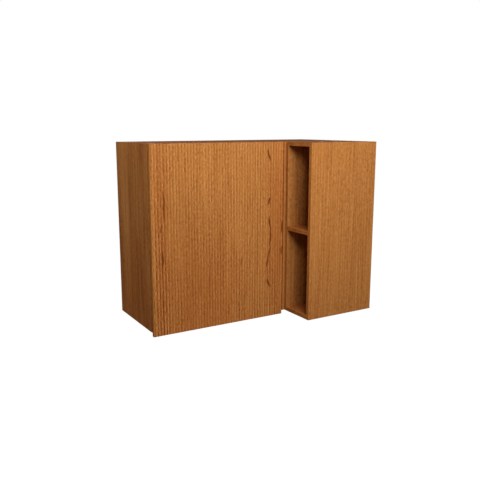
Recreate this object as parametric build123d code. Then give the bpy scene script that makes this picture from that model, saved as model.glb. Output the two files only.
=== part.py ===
from build123d import *
import os

# Corner wall cabinet: a straight cabinet with one door and a blind front panel,
# and an open niche unit screwed to the blind panel so that it looks along the door.
# Frame: X to the right seen from the front, Y into the wall, Z up. The origin lies on
# the wall, at the middle of the line through the two screw holes of the wall rail.

# Overall sizes, in millimetres
cabinet_width = 942.0
cabinet_height = 720.0
cabinet_depth = 334.0
niche_width = 334.0
niche_projection = 173.0

# Boards
board = 16.0
back_board = 3.2
edge_radius = 1.0
edge_bevel = 0.5
groove_depth = 8.0
groove_end_gap = 1.0
back_recess = 18.0
niche_back_recess = 10.0
fit = 0.1
fastener_sides = 8

# Door and blind front panel
door_gap = 3.0
door_reveal = 1.5
door_lip = 14.0
door_side_gap = 3.0
blind_reveal = 13.0
stile_width = 70.0
stile_overlap = 36.0
bumper_radius = 5.0
bumper_inset = 12.0
bumper_drop = 40.0

# Shelves
shelf_setback = 30.0
shelf_rear_gap = 2.0
shelf_side_gap = 1.0
shelf_height = 352.0
niche_shelf_height = 352.0
niche_shelf_gap = 0.5
pin_setback = 37.0
pin_pitch = 32.0
pin_rows = 3
pin_radius = 2.5
pin_depth = 9.0
support_width = 12.0
support_reach = 8.0
support_drop = 10.0
support_plate = 1.6

# Dowels, cams and cam bolts
dowel_radius = 4.0
dowel_length = 30.0
dowel_in_panel = 10.0
dowel_end_gap = 1.0
cam_radius = 7.4
cam_height = 12.0
cam_setback = 24.0
cam_slot = 1.6
cam_slot_depth = 2.0
cam_cap_radius = 8.6
cam_cap_height = 1.2
bolt_thread_radius = 2.5
bolt_thread_length = 10.5
bolt_head_radius = 3.4
bolt_head_length = 3.0
cam_front_inset = 45.0
cam_rear_inset = 69.0
dowel_inset = 155.0
niche_cam_inset = 150.0
niche_dowel_inset = 60.0
stile_dowel_inset = 18.0
blind_dowel_inset = 120.0
blind_dowel_count = 3

# Screws between boards
screw_radius = 2.0
screw_head_radius = 4.4
screw_head_height = 2.4
screw_bite = 11.0
stile_screw_count = 3
stile_screw_inset = 110.0
joining_screw_side_inset = 60.0
joining_screw_end_inset = 90.0

# Wall rail and cabinet hangers
rail_drop = 60.0
rail_end_gap = 8.0
rail_foot = 18.0
rail_sheet = 2.0
rail_step = 11.0
rail_offset = 6.0
rail_lip = 24.0
rail_bend = 1.6
rail_hole_spacing = 800.0
rail_hole_radius = 3.25
hanger_width = 18.0
hanger_depth = 40.0
hanger_height = 61.0
hanger_top_gap = 3.0
hanger_rear_gap = 0.6
hanger_bevel = 2.0
hanger_peg_radius = 5.0
hanger_peg_length = 12.0
hanger_peg_pitch = 32.0
hook_width = 13.0
hook_sheet = 2.4
hook_wall_gap = 2.2
hook_grip = 10.0
hook_tail = 22.0
hook_bend = 2.0
notch_width = 22.0
notch_below = 8.0
adjuster_radius = 4.0
adjuster_height = 2.5
adjuster_shank = 2.4
adjuster_length = 12.0
adjuster_pitch = 24.0
adjuster_recess = 1.0

# Concealed cup hinges, measured from the left outer face and the cabinet's front
hinge_inset = 100.0
cup_bore_radius = 17.5
cup_edge = 3.0
cup_depth = 12.3
cup_wall = 0.8
cup_floor = 0.8
cup_play = 0.3
flange_thickness = 1.2
flange_overhang = 0.9
wing_offset = 9.5
wing_pitch = 45.0
wing_width = 14.0
wing_end = 8.0
cup_screw_radius = 1.7
cup_screw_length = 12.0
cup_screw_head_radius = 3.2
cup_screw_head_height = 0.9
hinge_pin_radius = 1.0
hinge_pin_play = 0.05
hinge_pin_depth = 9.2
lug_gap = 0.4
lug_bearing = 3.2
lug_radius = 2.4
knuckle_radius = 1.9
knuckle_gap = 0.32
arm_sheet = 2.2
neck_drop = 0.4
neck_half_width = 5.0
riser_reach = 13.8
riser_end = 5.0
arm_slope_end = 13.0
arm_end = 60.0
arm_half_width = 8.0
arm_bend = 3.0
ear_start = 15.0
ear_thickness = 1.6
ear_clearance = 0.8
plate_block_height = 11.8
plate_block_half_width = 5.6
plate_block_start = 20.0
plate_block_end = 57.0
plate_bevel = 2.0
plate_wing_thickness = 2.4
plate_wing_width = 15.0
plate_wing_end = 9.0
plate_screw_length = 12.0
arm_screw_front = 27.0
arm_screw_rear = 49.0

# Planes and spans that the pieces share
x_left = -cabinet_width / 2
x_right = cabinet_width / 2
y_front = -cabinet_depth
y_blind = y_front - board
y_niche = y_blind - niche_projection
z_top = rail_drop
z_bottom = z_top - cabinet_height
z_middle = (z_top + z_bottom) / 2
x_inside = (x_left + board, x_right - board)
z_inside = (z_bottom + board, z_top - board)
z_full = (z_bottom, z_top)
z_upper_board = (z_top - board, z_top)
z_lower_board = (z_bottom, z_bottom + board)
y_back = (-back_recess - back_board, -back_recess)
x_niche = (x_right - niche_width, x_right)
x_blind = (x_niche[0] - blind_reveal, x_right)
x_door = (x_left + door_reveal, x_blind[0] - door_side_gap)
y_door = (y_front - door_gap - board, y_front - door_gap)
x_stile = (x_blind[0] + stile_overlap - stile_width, x_blind[0] + stile_overlap)
y_stile = (y_front, y_front + board)
y_niche_front = (y_niche, y_niche + board)
y_niche_rear = (y_blind - board, y_blind)
y_niche_inside = (y_niche_front[1], y_niche_rear[0])
x_niche_back = (x_right - niche_back_recess - back_board, x_right - niche_back_recess)
UP = (0, 0, 1)
DOWN = (0, 0, -1)
TO_WALL = (0, 1, 0)
TO_ROOM = (0, -1, 0)
TO_LEFT = (-1, 0, 0)
TO_RIGHT = (1, 0, 0)


def middle(span):
    """Middle of a (low, high) span."""
    return (span[0] + span[1]) / 2


def grown(span, amount):
    """Span made longer by the amount at both ends."""
    return (span[0] - amount, span[1] + amount)


def slab(x_span, y_span, z_span):
    """Rectangular block between three (low, high) spans."""
    spans = (x_span, y_span, z_span)
    sizes = [high - low for low, high in spans]
    return Pos(*[middle(span) for span in spans]) * Box(*sizes)


def eased(block, *faces_of):
    """Board with the edges of the named outer sides rounded like an edge band."""
    edges = [edge for side in faces_of for edge in block.faces().sort_by(side)[-1].edges()]
    return fillet(list(dict.fromkeys(edges)), edge_radius)


def banded(block, side, along):
    """Board between two others, with the long edges of its banded side bevelled."""
    edges = block.faces().sort_by(side)[-1].edges().filter_by(along)
    return chamfer(edges, edge_bevel)


def rod(start, direction, radius, length):
    """Round bar from a start point along a direction."""
    foot = (Align.CENTER, Align.CENTER, Align.MIN)
    return Plane(origin=start, z_dir=direction) * Cylinder(radius, length, align=foot)


def bar(start, direction, radius, length):
    """Many-sided bar inside a radius, for small fasteners."""
    outline = RegularPolygon(radius, fastener_sides)
    return extrude(Plane(origin=start, z_dir=direction) * outline, length)


def bore(start, direction, radius, length):
    """Many-sided bore outside a radius, for small fasteners."""
    outline = RegularPolygon(radius, fastener_sides, major_radius=False)
    return extrude(Plane(origin=start, z_dir=direction) * outline, length)


def evenly(span, inset, count):
    """Evenly spaced positions from one inset end of a span to the other."""
    first = span[0] + inset
    step = (span[1] - inset - first) / (count - 1)
    return [first + step * index for index in range(count)]


def cut(piece, tools):
    """Piece with every tool taken out of it."""
    for tool in tools:
        piece = piece - tool
    return piece


def group(pieces):
    """Separate solids kept together under one name."""
    return Compound([solid for piece in pieces for solid in piece.solids()])


# Dowel, cam, bolt and screw, each drawn once along local Z with the joint plane at zero
dowel_start = (0, 0, dowel_in_panel - dowel_length)
dowel_blank = bar(dowel_start, UP, dowel_radius, dowel_length)
dowel_bore_start = (0, 0, dowel_in_panel - dowel_length - dowel_end_gap)
dowel_bore = bore(dowel_bore_start, UP, dowel_radius + fit, dowel_length + 2 * dowel_end_gap)
bolt_head = -cam_setback - bolt_head_length / 2
bolt_blank = bar((0, 0, bolt_head), UP, bolt_head_radius, bolt_head_length)
bolt_blank += bar((0, 0, bolt_head), UP, bolt_thread_radius, bolt_thread_length - bolt_head)
bolt_bores = [
    bore((0, 0, bolt_head), UP, bolt_head_radius + fit, -bolt_head),
    bore((0, 0, 0), UP, bolt_thread_radius + fit, bolt_thread_length + dowel_end_gap),
]
cam_floor = board / 2 - cam_height
cam_bore = bore((cam_floor - fit, 0, -cam_setback), TO_RIGHT, cam_radius + fit, cam_height + 2 * fit)
cam_pocket = bore((0, 0, bolt_head - 2 * fit), UP, bolt_head_radius + 2 * fit, cam_setback)
cam_slot_cut = slab(
    (board / 2 - cam_slot_depth, board / 2), (-cam_radius, cam_radius),
    (-cam_setback - cam_slot / 2, -cam_setback + cam_slot / 2),
)
cam_blank = bar((cam_floor, 0, -cam_setback), TO_RIGHT, cam_radius, cam_height - fit)
cam_blank = cam_blank - cam_pocket - cam_slot_cut
cam_cap_blank = bar((board / 2, 0, -cam_setback), TO_RIGHT, cam_cap_radius, cam_cap_height)


def screw(head_radius, head_height, shank_radius, shank_length):
    """Screw with its head above local zero and its shank below."""
    head = bar((0, 0, 0), UP, head_radius, head_height)
    return head + bar((0, 0, -shank_length), UP, shank_radius, shank_length)


class Joinery:
    """Hardware and bores of one unit's board joints."""

    def __init__(self):
        self.dowels = []
        self.cams = []
        self.bolts = []
        self.caps = []
        self.bores = []

    def dowel(self, point, outward):
        """Dowel across a joint plane at a point, its short end along the outward direction."""
        place = Plane(origin=point, z_dir=outward)
        self.dowels.append(place * dowel_blank)
        self.bores.append(place * dowel_bore)

    def cam(self, point, outward, face, capped):
        """Cam and bolt at a board's end, the cam open towards the given face."""
        place = Plane(origin=point, x_dir=face, z_dir=outward)
        self.bolts.append(place * bolt_blank)
        self.cams.append(place * cam_blank)
        self.bores.extend(place * tool for tool in [*bolt_bores, cam_bore])
        if capped:
            self.caps.append(place * cam_cap_blank)


# Joints of the straight cabinet: top and bottom between the sides, stile between them
cabinet = Joinery()
cam_rows = (y_front + cam_front_inset, -cam_rear_inset)
for x_end, outward in ((x_inside[0], TO_LEFT), (x_inside[1], TO_RIGHT)):
    for z_span, capped in ((z_upper_board, False), (z_lower_board, True)):
        for y in cam_rows:
            cabinet.cam((x_end, y, middle(z_span)), outward, UP, capped)
        cabinet.dowel((x_end, y_front + dowel_inset, middle(z_span)), outward)
for z_end, outward in ((z_inside[1], UP), (z_inside[0], DOWN)):
    for x in (x_stile[0] + stile_dowel_inset, x_stile[1] - stile_dowel_inset):
        cabinet.dowel((x, middle(y_stile), z_end), outward)
for z in evenly(z_full, blind_dowel_inset, blind_dowel_count):
    cabinet.dowel((x_right - board / 2, y_front, z), TO_ROOM)

# Joints of the niche unit: top, bottom and shelf between its front and rear panels
niche = Joinery()
x_niche_dowels = (x_niche[0] + niche_dowel_inset, x_right - niche_dowel_inset)
z_niche_shelf = (z_bottom + niche_shelf_height, z_bottom + niche_shelf_height + board)
for y_end, outward in ((y_niche_inside[0], TO_ROOM), (y_niche_inside[1], TO_WALL)):
    for z_span, face, capped in ((z_upper_board, UP, False), (z_lower_board, DOWN, True)):
        niche.cam((x_niche[0] + niche_cam_inset, y_end, middle(z_span)), outward, face, capped)
    for z_span in (z_upper_board, z_niche_shelf, z_lower_board):
        for x in x_niche_dowels:
            niche.dowel((x, y_end, middle(z_span)), outward)

# Screws through the stile into the blind panel, and through the blind panel into the niche
screw_blank = screw(screw_head_radius, screw_head_height, screw_radius, board + screw_bite)
screw_bore = bore((0, 0, -board - screw_bite - fit), UP, screw_radius + fit, board + screw_bite + fit)
stile_screw_places = [
    Plane(origin=(middle((x_blind[0], x_stile[1])), y_stile[1], z), z_dir=TO_WALL)
    for z in evenly(z_full, stile_screw_inset, stile_screw_count)
]
joining_screw_places = [
    Plane(origin=(x, y_front, z), z_dir=TO_WALL)
    for x in (x_niche[0] + joining_screw_side_inset, x_right - joining_screw_side_inset)
    for z in (z_bottom + joining_screw_end_inset, z_top - joining_screw_end_inset)
]
stile_screws = [place * screw_blank for place in stile_screw_places]
joining_screws = [place * screw_blank for place in joining_screw_places]
stile_screw_bores = [place * screw_bore for place in stile_screw_places]
joining_screw_bores = [place * screw_bore for place in joining_screw_places]

# Adjustable shelf on four angle supports, with rows of holes to move it up and down
y_shelf = (y_front + shelf_setback, y_back[0] - shelf_rear_gap)
z_shelf = (z_bottom + shelf_height, z_bottom + shelf_height + board)
adjustable_shelf = eased(slab(grown(x_inside, -shelf_side_gap), y_shelf, z_shelf), -Axis.Y)
pin_columns = (y_front + pin_setback, y_shelf[1] - pin_setback)
z_pin = z_shelf[0] - support_plate - pin_radius
pin_levels = [z_pin + pin_pitch * (index - (pin_rows - 1) / 2) for index in range(pin_rows)]
shelf_supports = []
pin_bores = []
for x_face, inward, outward in ((x_inside[0], 1, TO_LEFT), (x_inside[1], -1, TO_RIGHT)):
    for y in pin_columns:
        y_ledge = (y - support_width / 2, y + support_width / 2)
        ledge = slab(
            sorted((x_face, x_face + inward * support_reach)), y_ledge,
            (z_shelf[0] - support_plate, z_shelf[0]),
        )
        plate = slab(
            sorted((x_face, x_face + inward * support_plate)), y_ledge,
            (z_shelf[0] - support_drop, z_shelf[0]),
        )
        peg = bar((x_face, y, z_pin), outward, pin_radius, pin_depth - dowel_end_gap)
        shelf_supports.append(ledge + plate + peg)
        pin_bores.extend(bore((x_face, y, z), outward, pin_radius + fit, pin_depth) for z in pin_levels)

# Wall rail: bent steel strip whose lip stands off the wall
rail_line = FilletPolyline(
    (-rail_sheet / 2, -rail_foot),
    (-rail_sheet / 2, rail_step),
    (-rail_sheet / 2 - rail_offset, rail_step),
    (-rail_sheet / 2 - rail_offset, rail_lip),
    radius=rail_bend,
)
x_rail = grown(x_inside, -rail_end_gap)
rail_section = Plane(origin=(x_rail[0], 0, 0), x_dir=TO_WALL, z_dir=TO_RIGHT) * trace(rail_line, rail_sheet)
wall_rail = extrude(rail_section, x_rail[1] - x_rail[0])
for x in (-rail_hole_spacing / 2, rail_hole_spacing / 2):
    wall_rail = wall_rail - rod((x, -rail_sheet, 0), TO_WALL, rail_hole_radius, rail_sheet)

# Left cabinet hanger: body pegged to the side, hook over the rail's lip, two adjusters
z_hook = (rail_lip, rail_lip + hook_sheet)
x_hanger = (x_inside[0], x_inside[0] + hanger_width)
y_hanger = (y_back[0] - hanger_rear_gap - hanger_depth, y_back[0] - hanger_rear_gap)
z_hanger = (z_inside[1] - hanger_top_gap - hanger_height, z_inside[1] - hanger_top_gap)
x_hook = grown((middle(x_hanger), middle(x_hanger)), hook_width / 2)
hook_line = FilletPolyline(
    (y_hanger[1] - hook_tail, middle(z_hook)),
    (-hook_wall_gap - hook_sheet / 2, middle(z_hook)),
    (-hook_wall_gap - hook_sheet / 2, z_hook[0] - hook_grip),
    radius=hook_bend,
)
hook_section = Plane(origin=(x_hook[0], 0, 0), x_dir=TO_WALL, z_dir=TO_RIGHT) * trace(hook_line, hook_sheet)
left_hook = extrude(hook_section, hook_width)
hook_slot = slab(grown(x_hook, fit), (y_hanger[1] - hook_tail - fit, y_hanger[1]), grown(z_hook, fit))
adjuster_blank = screw(adjuster_radius, adjuster_height, adjuster_shank, adjuster_length)
adjuster_seat = bore((0, 0, 0), UP, adjuster_radius + fit, adjuster_height + adjuster_recess)
adjuster_thread = bore((0, 0, -adjuster_length - fit), UP, adjuster_shank + fit, adjuster_length + 2 * fit)
adjuster_places = [
    Plane(
        origin=(middle(x_hanger), y_hanger[0] + adjuster_height + adjuster_recess, middle(z_hanger) + rise),
        z_dir=TO_ROOM,
    )
    for rise in (-adjuster_pitch / 2, adjuster_pitch / 2)
]
hanger_pegs = [
    (middle(y_hanger), middle(z_hanger) + rise) for rise in (-hanger_peg_pitch / 2, hanger_peg_pitch / 2)
]
hanger_block = slab(x_hanger, y_hanger, z_hanger)
left_hanger = chamfer(hanger_block.edges().filter_by(Axis.X), hanger_bevel)
for y, z in hanger_pegs:
    left_hanger = left_hanger + bar((x_hanger[0], y, z), TO_LEFT, hanger_peg_radius, hanger_peg_length)
left_hanger = left_hanger - hook_slot
for place in adjuster_places:
    left_hanger = left_hanger - place * adjuster_seat - place * adjuster_thread
left_adjusters = [place * adjuster_blank for place in adjuster_places]
right_hanger, right_hook = (mirror(piece, about=Plane.YZ) for piece in (left_hanger, left_hook))
right_adjusters = [mirror(piece, about=Plane.YZ) for piece in left_adjusters]
peg_bores = [
    bore((x_face, y, z), outward, hanger_peg_radius + fit, hanger_peg_length + fit)
    for x_face, outward in ((x_inside[0], TO_LEFT), (x_inside[1], TO_RIGHT))
    for y, z in hanger_pegs
]

# Hinge drawn once: local X from the left outer face, Y from the cabinet's front, Z at mid height
cup_x = door_reveal + cup_edge + cup_bore_radius
cup_mouth = Plane(origin=(cup_x, -door_gap, 0), x_dir=TO_RIGHT, z_dir=TO_WALL)
cup_radius = cup_bore_radius - cup_play
neck_chord = ((cup_radius - cup_wall) ** 2 - neck_half_width ** 2) ** 0.5
hinge_pin_offset = neck_chord - knuckle_radius - knuckle_gap
pin_x = cup_x - hinge_pin_offset
pin_y = -door_gap - hinge_pin_depth
wing_points = [(wing_offset, -wing_pitch / 2), (wing_offset, wing_pitch / 2)]
wing_length = wing_pitch + 2 * wing_end
flange_outline = Circle(cup_bore_radius + flange_overhang)
flange_outline += Pos(wing_offset, 0) * SlotOverall(wing_length, wing_width, rotation=90)
cup_shell = rod((0, 0, -cup_depth), UP, cup_radius, cup_depth)
cup_shell = cup_shell + extrude(flange_outline, flange_thickness)
cup_shell = cup_shell - rod(
    (0, 0, cup_floor - cup_depth), UP, cup_radius - cup_wall, cup_depth - cup_floor + flange_thickness
)
for x, y in wing_points:
    cup_shell = cup_shell - bore((x, y, 0), UP, cup_screw_radius + fit, flange_thickness)
lug_start = neck_half_width + lug_gap
lug_inside = rod((0, 0, -cup_depth + cup_floor / 2), UP, cup_radius - cup_wall / 2, cup_depth)
lug_block = slab(
    (-cup_radius, lug_radius - hinge_pin_offset), (lug_start, cup_radius),
    (-cup_depth, lug_radius - hinge_pin_depth),
)
lug = lug_block & lug_inside
cup_shell = cup_shell + lug + mirror(lug, about=Plane.XZ)
pin_half_length = lug_start + lug_bearing
pin_bore = rod((pin_x, pin_y, -pin_half_length), UP, hinge_pin_radius + hinge_pin_play, 2 * pin_half_length)
hinge_cup = cup_mouth * cup_shell - pin_bore
hinge_pin = rod((pin_x, pin_y, -pin_half_length), UP, hinge_pin_radius, 2 * pin_half_length)
cup_screw_blank = screw(
    cup_screw_head_radius, cup_screw_head_height, cup_screw_radius, cup_screw_length + flange_thickness
)
hinge_cup_screws = [cup_mouth * Pos(x, y, flange_thickness) * cup_screw_blank for x, y in wing_points]
cup_screw_depth = cup_screw_length + fit
cup_bores = [cup_mouth * rod((0, 0, -cup_depth - fit), UP, cup_bore_radius, cup_depth + fit)]
cup_bores += [
    cup_mouth * bore((x, y, -cup_screw_depth), UP, cup_screw_radius + fit, cup_screw_depth)
    for x, y in wing_points
]

# Hinge arm: strip from the pin along the cup, out of its mouth and over the mounting plate
neck_y = pin_y - neck_drop
riser_x = pin_x + riser_reach
strip_x = board + plate_block_height + fit + arm_sheet / 2
arm_line = FilletPolyline(
    (pin_x, neck_y),
    (riser_x, neck_y),
    (riser_x, riser_end),
    (strip_x, arm_slope_end),
    (strip_x, arm_end),
    radius=arm_bend,
)
arm_section = trace(arm_line, arm_sheet) + Pos(pin_x, pin_y) * Circle(knuckle_radius)
arm_strip = extrude(arm_section, arm_half_width, both=True)
arm_blank_half = make_face(Polyline(
    (pin_y - knuckle_radius, 0),
    (pin_y - knuckle_radius, neck_half_width),
    (riser_end, neck_half_width),
    (arm_slope_end, arm_half_width),
    (arm_end, arm_half_width),
    (arm_end, 0),
    close=True,
))
arm_blank = Plane.YZ * (arm_blank_half + mirror(arm_blank_half, about=Plane.XZ))
hinge_arm = arm_strip & extrude(arm_blank, strip_x + arm_sheet)
ear_foot = board + plate_wing_thickness + ear_clearance
ear = slab((ear_foot, strip_x), (ear_start, arm_end), (arm_half_width - ear_thickness, arm_half_width))
hinge_arm = hinge_arm + ear + mirror(ear, about=Plane.XY) - pin_bore
arm_screw_places = [
    Plane(origin=(strip_x + arm_sheet / 2, y, 0), z_dir=TO_RIGHT) for y in (arm_screw_front, arm_screw_rear)
]
hinge_arm = cut(hinge_arm, [place * adjuster_thread for place in arm_screw_places])
hinge_arm_screws = [place * adjuster_blank for place in arm_screw_places]

# Mounting plate: winged base screwed to the side, with a block that the arm straddles
plate_face = Plane(origin=(board, pin_setback, 0), x_dir=TO_WALL, z_dir=TO_RIGHT)
plate_wing = Rectangle(plate_wing_width, pin_pitch + 2 * plate_wing_end)
plate_wing = chamfer(plate_wing.vertices(), 2 * plate_bevel)
plate_block = slab(
    (board, board + plate_block_height), (plate_block_start, plate_block_end),
    (-plate_block_half_width, plate_block_half_width),
)
hinge_plate = chamfer(plate_block.edges().filter_by(Axis.X), plate_bevel)
hinge_plate = hinge_plate + plate_face * extrude(plate_wing, plate_wing_thickness)
hinge_plate = cut(hinge_plate, [place * adjuster_thread for place in arm_screw_places])
plate_screw_blank = screw(
    screw_head_radius, screw_head_height, pin_radius, plate_wing_thickness + plate_screw_length
)
plate_screw_bore = bore(
    (0, 0, -plate_screw_length - fit), UP, pin_radius + fit, plate_screw_length + fit + plate_wing_thickness
)
plate_screw_points = [(0, -pin_pitch / 2), (0, pin_pitch / 2)]
plate_bores = [plate_face * Pos(x, y, 0) * plate_screw_bore for x, y in plate_screw_points]
hinge_plate = cut(hinge_plate, plate_bores)
hinge_plate_screws = [
    plate_face * Pos(x, y, plate_wing_thickness) * plate_screw_blank for x, y in plate_screw_points
]

# The upper and lower hinge in their places
places = [Pos(x_left, y_front, z) for z in (z_top - hinge_inset, z_bottom + hinge_inset)]

# Boards of the straight cabinet
back_groove = slab(grown(x_inside, groove_depth), grown(y_back, fit), grown(z_inside, groove_depth))
side_bores = [*cabinet.bores, *pin_bores, *peg_bores, back_groove]
left_bores = [place * tool for place in places for tool in plate_bores]
y_depth = (y_front, 0)
left_side_panel = eased(slab((x_left, x_inside[0]), y_depth, z_full), -Axis.Y)
left_side_panel = cut(left_side_panel, side_bores + left_bores)
right_side_panel = cut(slab((x_inside[1], x_right), y_depth, z_full), side_bores)
top_panel = banded(slab(x_inside, y_depth, z_upper_board), -Axis.Y, Axis.X)
top_panel = cut(top_panel, [*cabinet.bores, back_groove])
bottom_panel = banded(slab(x_inside, y_depth, z_lower_board), -Axis.Y, Axis.X)
bottom_panel = cut(bottom_panel, [*cabinet.bores, back_groove])
panel_reach = groove_depth - groove_end_gap
z_notch = (z_hook[0] - notch_below, z_inside[1] + groove_depth)
left_notch = slab((x_left, x_inside[0] + notch_width), grown(y_back, fit), z_notch)
back_panel = slab(grown(x_inside, panel_reach), y_back, grown(z_inside, panel_reach))
back_panel = cut(back_panel, [left_notch, mirror(left_notch, about=Plane.YZ)])
front_stile = banded(slab(x_stile, y_stile, z_inside), -Axis.X, Axis.Z)
front_stile = cut(front_stile, [*cabinet.bores, *stile_screw_bores])
blind_front_panel = eased(slab(x_blind, (y_blind, y_front), z_full), -Axis.X)
blind_front_panel = cut(blind_front_panel, [*cabinet.bores, *stile_screw_bores, *joining_screw_bores])

# Boards of the niche unit
niche_groove = slab(
    grown(x_niche_back, fit), grown(y_niche_inside, groove_depth), grown(z_inside, groove_depth)
)
niche_cuts = [*niche.bores, niche_groove]
niche_front_panel = eased(slab(x_niche, y_niche_front, z_full), -Axis.Y)
niche_front_panel = cut(niche_front_panel, niche_cuts)
niche_rear_panel = eased(slab(x_niche, y_niche_rear, z_full), -Axis.X)
niche_rear_panel = cut(niche_rear_panel, niche_cuts + joining_screw_bores)
niche_top = banded(slab(x_niche, y_niche_inside, z_upper_board), -Axis.X, Axis.Y)
niche_top = cut(niche_top, niche_cuts)
niche_bottom = banded(slab(x_niche, y_niche_inside, z_lower_board), -Axis.X, Axis.Y)
niche_bottom = cut(niche_bottom, niche_cuts)
x_niche_shelf = (x_niche[0], x_niche_back[0] - niche_shelf_gap)
niche_shelf = banded(slab(x_niche_shelf, y_niche_inside, z_niche_shelf), -Axis.X, Axis.Y)
niche_shelf = cut(niche_shelf, niche.bores)
niche_back_panel = slab(x_niche_back, grown(y_niche_inside, panel_reach), grown(z_inside, panel_reach))

# Door with its cup bores, and bumpers that meet the stile
z_door = (z_bottom - door_lip, z_top)
door_panel = eased(slab(x_door, y_door, z_door), -Axis.Y, Axis.Y)
door_panel = cut(door_panel, [place * tool for place in places for tool in cup_bores])
bumper_blank = bar((0, 0, 0), UP, bumper_radius, door_gap - fit)
door_bumpers = [
    Plane(origin=(x_door[1] - bumper_inset, y_door[1], z), z_dir=TO_WALL) * bumper_blank
    for z in (z_top - bumper_drop, z_bottom + bumper_drop)
]

# Every piece by name
nodes = {
    "left_side_panel": left_side_panel,
    "right_side_panel": right_side_panel,
    "top_panel": top_panel,
    "bottom_panel": bottom_panel,
    "back_panel": back_panel,
    "front_stile": front_stile,
    "blind_front_panel": blind_front_panel,
    "adjustable_shelf": adjustable_shelf,
    "shelf_supports": group(shelf_supports),
    "cabinet_dowels": group(cabinet.dowels),
    "cabinet_cams": group(cabinet.cams),
    "cabinet_cam_bolts": group(cabinet.bolts),
    "cabinet_cam_caps": group(cabinet.caps),
    "stile_screws": group(stile_screws),
    "joining_screws": group(joining_screws),
    "wall_rail": wall_rail,
    "left_hanger_body": left_hanger,
    "right_hanger_body": right_hanger,
    "left_hanger_hook": left_hook,
    "right_hanger_hook": right_hook,
    "hanger_adjusters": group(left_adjusters + right_adjusters),
    "niche_front_panel": niche_front_panel,
    "niche_rear_panel": niche_rear_panel,
    "niche_top": niche_top,
    "niche_bottom": niche_bottom,
    "niche_shelf": niche_shelf,
    "niche_back_panel": niche_back_panel,
    "niche_dowels": group(niche.dowels),
    "niche_cams": group(niche.cams),
    "niche_cam_bolts": group(niche.bolts),
    "niche_cam_caps": group(niche.caps),
    "door_panel": door_panel,
    "door_bumpers": group(door_bumpers),
    "hinge_plate_screws": group([place * piece for place in places for piece in hinge_plate_screws]),
    "hinge_arm_screws": group([place * piece for place in places for piece in hinge_arm_screws]),
    "hinge_cup_screws": group([place * piece for place in places for piece in hinge_cup_screws]),
    "hinge_plates": group([place * hinge_plate for place in places]),
    "hinge_arms": group([place * hinge_arm for place in places]),
    "hinge_cups": group([place * hinge_cup for place in places]),
    "hinge_pins": group([place * hinge_pin for place in places]),
}

os.makedirs("parts", exist_ok=True)
for name, shape in nodes.items():
    export_step(shape, f"parts/{name}.step")
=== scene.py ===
"""Looks of a hanging corner wall cabinet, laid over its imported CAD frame."""
import math

import bmesh
import bpy
from bpy.props import FloatProperty, FloatVectorProperty, PointerProperty
from mathutils import Matrix, Vector


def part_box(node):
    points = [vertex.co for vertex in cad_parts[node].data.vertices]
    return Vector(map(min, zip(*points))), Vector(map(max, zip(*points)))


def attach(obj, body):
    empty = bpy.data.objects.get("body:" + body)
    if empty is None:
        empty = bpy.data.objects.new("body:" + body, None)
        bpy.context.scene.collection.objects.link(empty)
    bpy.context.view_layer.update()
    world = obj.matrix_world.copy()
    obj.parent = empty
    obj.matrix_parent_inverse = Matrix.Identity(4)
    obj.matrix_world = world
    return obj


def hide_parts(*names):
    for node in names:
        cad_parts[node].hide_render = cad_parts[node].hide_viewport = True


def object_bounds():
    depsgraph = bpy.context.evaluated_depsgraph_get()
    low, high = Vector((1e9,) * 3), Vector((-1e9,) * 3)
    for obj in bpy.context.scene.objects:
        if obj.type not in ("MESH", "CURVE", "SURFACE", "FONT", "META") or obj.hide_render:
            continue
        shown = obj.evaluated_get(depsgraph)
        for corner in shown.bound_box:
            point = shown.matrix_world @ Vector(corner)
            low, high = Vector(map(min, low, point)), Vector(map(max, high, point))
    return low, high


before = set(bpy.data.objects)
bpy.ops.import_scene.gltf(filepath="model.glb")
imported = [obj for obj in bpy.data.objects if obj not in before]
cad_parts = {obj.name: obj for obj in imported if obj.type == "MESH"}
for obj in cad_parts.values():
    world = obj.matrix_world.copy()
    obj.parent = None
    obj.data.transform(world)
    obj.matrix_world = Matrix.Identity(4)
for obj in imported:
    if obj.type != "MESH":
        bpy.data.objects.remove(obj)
cad_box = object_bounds()

bl_info = {
    "name": "Corner Wall Cabinet",
    "version": (1, 0, 0),
    "blender": (4, 5, 0),
    "location": "View3D > Sidebar > Cabinet",
    "description": "Finishes, small hardware and stage of a hanging corner wall cabinet",
    "category": "Object",
}

ACROSS_X, ACROSS_Y, UPRIGHT = 0, 1, 2
TO_RIGHT, TO_WALL, TO_ROOM = (1.0, 0.0, 0.0), (0.0, 1.0, 0.0), (0.0, -1.0, 0.0)
UPWARDS, DOWNWARDS = (0.0, 0.0, 1.0), (0.0, 0.0, -1.0)

# Sides of boards darkened with painted shade, as (axis, end, reach, strength): upper faces where light only
# grazes, and the side beside the door gap
PAINTED_TOP_SHADE = ((UPRIGHT, 1, 0.0008, 0.7),)
SHADED_JOINT = ((ACROSS_X, -1, 0.0035, 1.0),)

# Depths under a board's faces, in metres
EDGING_FROM, EDGING_FULL = 0.0003, 0.0008
GLUE_LINE, GLUE_HALF_WIDTH = 0.0009, 0.0002
WORN_FROM, WORN_FULL = 0.0014, 0.0003
CORE_FROM, CORE_FULL = 0.0005, 0.0009
RAW_FROM, RAW_FULL = 0.0006, 0.0003
HARDBOARD_CHANGE = 0.0004
GRAIN_RELIEF = 0.00012

# Step through the grain from one figure's number to the next, and how marks in it fade out
FIGURE_STEP = (1.37, 0.83, 2.11)
ZONE_SOFTNESS, FLECK_SOFTNESS = 0.9, 0.5
MARK_DEPTH = 0.004

# Small pieces: edges shaded sharp from this angle, and cams this near to a face lie open in it
SMOOTH_ANGLE = math.radians(38.0)
OPEN_CAM_GAP = 0.001

# Stage
SENSOR_WIDTH = 36.0
FLOOR_REACH = 9.0
FLOOR_ROUGHNESS = 0.9


# Settings that a user would change

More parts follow.
